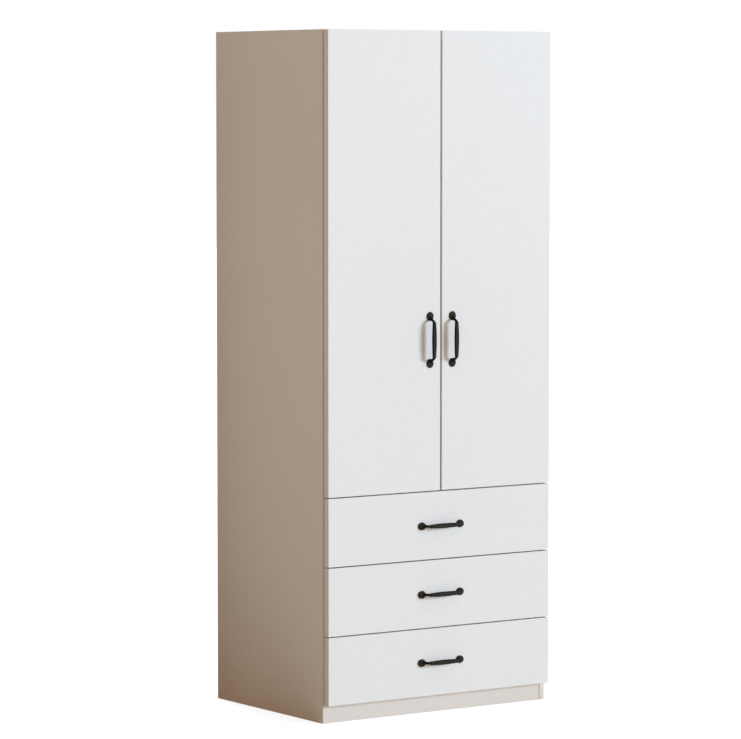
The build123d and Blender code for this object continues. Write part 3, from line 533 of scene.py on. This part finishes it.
def chipboard(tree, place):
    """The colour of bare chipboard: flat chips in several browns."""
    sockets = {"Vector": place, "Scale": chips_per_metre}
    chips = add_node(tree, "TexVoronoi", sockets).outputs["Color"]
    tone = add_node(tree, "SeparateColor", {"Color": chips}).outputs["Red"]
    dust = clouds(tree, place, per_metre=900.0)
    mixed = sum_up(tree, "ADD", sum_up(tree, "MULTIPLY", tone, chip_share), dust)
    return blend_colours(tree, remap(tree, mixed, *chip_span), *chip_tones)


print("bare chipboard ready")

# %% [markdown]
# The plinth boards stand across, so their rear is a face with its skin on, while the rear of
# every other board is a sawn edge. The front edges have a band, and its glue line is a hair's
# width just behind them. Each board has its own copy of the finish, because each has its own
# box.

# %% Finish of the case boards
bore_from, bore_to = 0.0005, 0.0008
band_thickness = 0.0013
seam_half = 0.00015
seam_tone = paint(190, 180, 170)


def melamine_finish(node):
    """Warm white melamine on chipboard, for one board."""
    finish, tree, shader = new_finish("case_board_" + node, Specular_IOR_Level=0.22)
    place = own_space(tree)
    low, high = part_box(node)
    bare = remap(tree, depth_inside(tree, place, low, high), bore_from, bore_to)
    if high.y - low.y > min(high.x - low.x, high.z - low.z):
        bare = sum_up(tree, "MAXIMUM", bare, facing(tree, rear))
    share = remap(tree, two_clouds(tree, place, fine=70.0, broad=1.5), *two_cloud_span)
    skin = blend_colours(tree, share, *skin_tones)
    from_front = add_node(tree, "SeparateXYZ", {"Vector": place}).outputs["Y"]
    glue_line = {0: from_front, 1: low.y + band_thickness, 2: seam_half}
    seam = add_node(tree, "Math", glue_line, operation="COMPARE").outputs[0]
    skin = blend_colours(tree, seam, skin, seam_tone)
    set_colour(tree, shader, blend_colours(tree, bare, skin, chipboard(tree, place)))
    patches = clouds(tree, place, per_metre=30.0)
    set_part_gloss(tree, shader, patches, smooth=0.42, rough=0.52, bare=bare, more=0.4)
    set_relief(tree, shader, clouds(tree, place, per_metre=700.0, detail=1.0), depth=0.00003)
    return finish


print("board skin ready")

# %% [markdown]
# ## Back sheets and drawer boxes
#
# The back is thin hardboard: white inside, and on the rear the bare brown of pressed fibre with
# the print of the press screen. The drawer boxes are wrapped in a white foil with a linen
# weave, and their bottoms are the same hardboard, bare underneath. Crossing two sets of fine
# waves gives both the screen print and the weave.

# %% Woven relief and bare hardboard
wave_length = 0.314
fibre_tones = paint(128, 97, 68), paint(160, 126, 92)
drift_share = 0.4
fibre_span = (0.4, 1.0)


def crossed_waves(tree, place, pitch, axes):
    """A fine woven relief: waves along two axes, one pitch apart in metres."""
    sockets = {
        "Vector": place, "Scale": wave_length / pitch,
        "Distortion": 0.6, "Detail": 1.0, "Detail Scale": 2.0,
    }
    made = [
        add_node(tree, "TexWave", sockets, wave_type="BANDS", bands_direction=axis).outputs["Fac"]
        for axis in axes
    ]
    return sum_up(tree, "MULTIPLY", *made)


def hardboard(tree, place):
    """The colour of bare hardboard: brown fibre with fine flecks and a faint drift."""
    drift = sum_up(tree, "MULTIPLY", clouds(tree, place, per_metre=5.0, detail=4.0), drift_share)
    fibre = sum_up(tree, "ADD", drift, clouds(tree, place, per_metre=450.0, detail=3.0))
    return blend_colours(tree, remap(tree, fibre, *fibre_span), *fibre_tones)


print("woven relief ready")

# %% [markdown]
# Both kinds of sheet take the same recipe, with the bare side and the directions of the screen
# print as its choices: the back is bare behind, and the drawer bottoms are bare underneath.

# %% Finishes of the thin sheets
sheet_tones = paint(220, 217, 211), paint(225, 222, 216)
foil_tones = paint(219, 216, 210), paint(224, 221, 215)
screen_pitch = 0.0018
linen_pitch = 0.0012


def sheet_finish(name, bare_side, axes):
    """A thin sheet, white on one side and bare on the side that is given."""
    finish, tree, shader = new_finish(name, Specular_IOR_Level=0.35)
    place = own_space(tree)
    bare = facing(tree, bare_side)
    drift = remap(tree, clouds(tree, place, per_metre=2.0), *narrow_span)
    skin = blend_colours(tree, drift, *sheet_tones)
    set_colour(tree, shader, blend_colours(tree, bare, skin, hardboard(tree, place)))
    patches = clouds(tree, place, per_metre=40.0)
    set_part_gloss(tree, shader, patches, smooth=0.46, rough=0.56, bare=bare, more=0.3)
    screen = sum_up(tree, "MULTIPLY", crossed_waves(tree, place, screen_pitch, axes), bare)
    set_relief(tree, shader, screen, depth=0.0002)
    return finish


def foil_finish():
    """White foil with a linen weave."""
    finish, tree, shader = new_finish("drawer_box", Specular_IOR_Level=0.4)
    place = own_space(tree)
    drift = remap(tree, clouds(tree, place, per_metre=3.0), *narrow_span)
    set_colour(tree, shader, blend_colours(tree, drift, *foil_tones))
    set_gloss(tree, shader, clouds(tree, place, per_metre=50.0), smooth=0.42, rough=0.52)
    weaves = [crossed_waves(tree, place, linen_pitch, axes) for axes in ("YZ", "XZ")]
    set_relief(tree, shader, sum_up(tree, "ADD", *weaves), depth=0.00003)
    return finish


finishes["back_sheet"] = sheet_finish("back_sheet", rear, axes="XZ")
finishes["drawer_bottom"] = sheet_finish("drawer_bottom", under, axes="XY")
finishes["drawer_box"] = foil_finish()
print("made the finishes of the back and the drawer boxes")

# %% [markdown]
# ## Black cast handles
#
# The handles are cast metal with a satin black coat. On the front of the grip and the knobs the
# coat gets a painted highlight, a dark grey that stands for the window's sheen, and it stays black
# round their sides. So the colour depends on which way a face looks. We keep the mirror-like
# part of the shine low and let the roughness wander, and a fine grain from the casting breaks
# up the light.

# %% Finish of the handles
coat_tones = paint(12, 10, 8), paint(18, 16, 13)
highlight_tones = paint(44, 43, 41), paint(54, 52, 50)


def black_coat_finish():
    """Satin black coat on a casting, with a painted grey highlight on the front."""
    finish, tree, shader = new_finish("handle_black", Specular_IOR_Level=0.05)
    place = own_space(tree)
    patch = remap(tree, clouds(tree, place, per_metre=160.0, detail=3.0), *narrow_span)
    coat = blend_colours(tree, patch, *coat_tones)
    # painted highlight: faces that look to the front get a lighter grey that stands for the
    # window's sheen
    painted_highlight = blend_colours(tree, patch, *highlight_tones)
    highlight_share = facing(tree, front, start=0.5, full=1.0)
    set_colour(tree, shader, blend_colours(tree, highlight_share, coat, painted_highlight))
    sheen = clouds(tree, place, per_metre=220.0, detail=3.0)
    set_gloss(tree, shader, sheen, smooth=0.36, rough=0.52)
    set_relief(tree, shader, clouds(tree, place, per_metre=1400.0), depth=0.00006)
    return finish


finishes["handle_black"] = black_coat_finish()
print("made the finish of the handles")

# %% [markdown]
# ## Metal fittings
#
# Hinges are nickel plated, screws and pins zinc plated, the hanging rail is drawn steel tube
# with chrome on it, and the cam locks are die-cast zinc. All four are the same recipe, a metal
# with a little colour and a roughness pattern, and differ in tint, in gloss and in the way the
# pattern is drawn out: along the tube for the rail, in all directions for a casting.

# %% Finishes of the metal fittings
patch_share = 0.4
metals = {
    "hinge_nickel": {
        "tones": (paint(208, 203, 195), paint(217, 212, 204)), "gloss": (0.24, 0.34),
        "per_metre": 900.0, "depth": 0.000003,
    },
    "screw_zinc": {
        "tones": (paint(176, 178, 182), paint(200, 201, 200)), "gloss": (0.28, 0.42),
        "per_metre": 700.0, "depth": 0.00001,
    },
    "rail_chrome": {
        "tones": (paint(206, 206, 208), paint(222, 222, 224)), "gloss": (0.10, 0.20),
        "per_metre": 900.0, "depth": 0.000004, "stretch": (0.01, 1.0, 1.0),
    },
    "cam_zinc": {
        "tones": (paint(150, 150, 152), paint(180, 180, 182)), "gloss": (0.42, 0.58),
        "per_metre": 900.0, "depth": 0.00003,
    },
}


def metal_finish(name, tones, gloss, per_metre, depth, stretch=even):
    """Plated or cast metal with a drawn or an even grain."""
    finish, tree, shader = new_finish(name, Metallic=1.0)
    place = own_space(tree, stretch)
    grain = clouds(tree, place, per_metre, detail=3.0)
    set_colour(tree, shader, blend_colours(tree, remap(tree, grain, *cloud_span), *tones))
    set_gloss(tree, shader, clouds(tree, place, per_metre * patch_share, detail=3.0), *gloss)
    set_relief(tree, shader, grain, depth)
    return finish


for name, recipe in metals.items():
    finishes[name] = metal_finish(name, **recipe)
print("made", ", ".join(metals))

# %% [markdown]
# ## Runners, rollers and plastic
#
# The roller runners are pressed steel under a white epoxy coat with a coarse orange peel. The
# rollers are natural nylon, which lets a little light into itself, and the strip between the
# back sheets is extruded plastic with faint lines along its length. The bumpers behind the
# fronts are clear soft domes.

# %% Finishes of the coated and moulded pieces
peel_share = 0.3
mouldings = {
    "runner_white": {
        "tones": (paint(222, 221, 216), paint(228, 227, 222)), "gloss": (0.28, 0.40),
        "per_metre": 450.0, "depth": 0.00004,
    },
    "roller_nylon": {
        "tones": (paint(214, 211, 199), paint(226, 223, 212)), "gloss": (0.38, 0.50),
        "per_metre": 600.0, "depth": 0.00003,
        "Subsurface_Weight": 0.15, "Subsurface_Scale": 0.002,
    },
    "joint_strip": {
        "tones": (paint(222, 220, 214), paint(228, 226, 221)), "gloss": (0.34, 0.46),
        "per_metre": 800.0, "depth": 0.00004, "stretch": (1.0, 1.0, 0.01),
    },
    "bumper_clear": {
        "tones": (paint(222, 222, 219), paint(232, 232, 230)), "gloss": (0.14, 0.24),
        "per_metre": 300.0, "depth": 0.00002,
        "Transmission_Weight": 0.3, "IOR": 1.45,
    },
}


def moulded_finish(name, tones, gloss, per_metre, depth, stretch=even, **constants):
    """Coated steel or moulded plastic with a soft relief."""
    finish, tree, shader = new_finish(name, **constants)
    place = own_space(tree, stretch)
    share = remap(tree, clouds(tree, place, per_metre=25.0), *cloud_span)
    set_colour(tree, shader, blend_colours(tree, share, *tones))
    set_gloss(tree, shader, clouds(tree, place, per_metre * peel_share), *gloss)
    set_relief(tree, shader, clouds(tree, place, per_metre, detail=1.0), depth)
    return finish


for name, recipe in mouldings.items():
    finishes[name] = moulded_finish(name, **recipe)
print("made", ", ".join(mouldings))

# %% [markdown]
# ## Beech dowels
#
# The dowels are turned from beech, a pale pinkish wood with short dark flecks. They lie along
# the wardrobe's width, so the noise is drawn out along that axis.

# %% Finish of the dowels
beech_tones = paint(168, 124, 86), paint(214, 176, 134)
beech_span = (0.75, 1.3)
along_dowel = (0.08, 1.0, 1.0)


def beech_finish():
    """Bare beech with its grain along the dowel."""
    finish, tree, shader = new_finish("dowel_beech", Specular_IOR_Level=0.25)
    place = own_space(tree, along_dowel)
    flecks = clouds(tree, place, per_metre=500.0, detail=4.0)
    grain = sum_up(tree, "ADD", flecks, clouds(tree, place, per_metre=1500.0))
    set_colour(tree, shader, blend_colours(tree, remap(tree, grain, *beech_span), *beech_tones))
    set_gloss(tree, shader, clouds(tree, place, per_metre=300.0), smooth=0.6, rough=0.75)
    set_relief(tree, shader, grain, depth=0.00008)
    return finish


finishes["dowel_beech"] = beech_finish()
print("made the finish of the dowels")

# %% [markdown]
# ## Dress the pieces
#
# The record that came with the frame names a material slot for each piece. We only swap what is
# in that slot, and leave the shapes alone.

# %% Give each piece its finish
slot_of = {part["node"]: part["material_slot"] for part in frame["record"]["subparts"]}


def finish_for(name):
    """The finish that a piece gets."""
    if slot_of[name] == "case_board":
        return melamine_finish(name)
    if name.endswith("_bottom"):
        return finishes["drawer_bottom"]
    return finishes[slot_of[name]]


for name, piece in nodes.items():
    piece.data.materials.clear()
    piece.data.materials.append(finish_for(name))
used = {piece.data.materials[0].name for piece in nodes.values()}
print("dressed", len(nodes), "pieces in", len(used), "finishes")

# %% [markdown]
# ## Update the scene
#
# Last, we bring the scene's view layer up to date.

# %% Update the scene
bpy.context.view_layer.update()
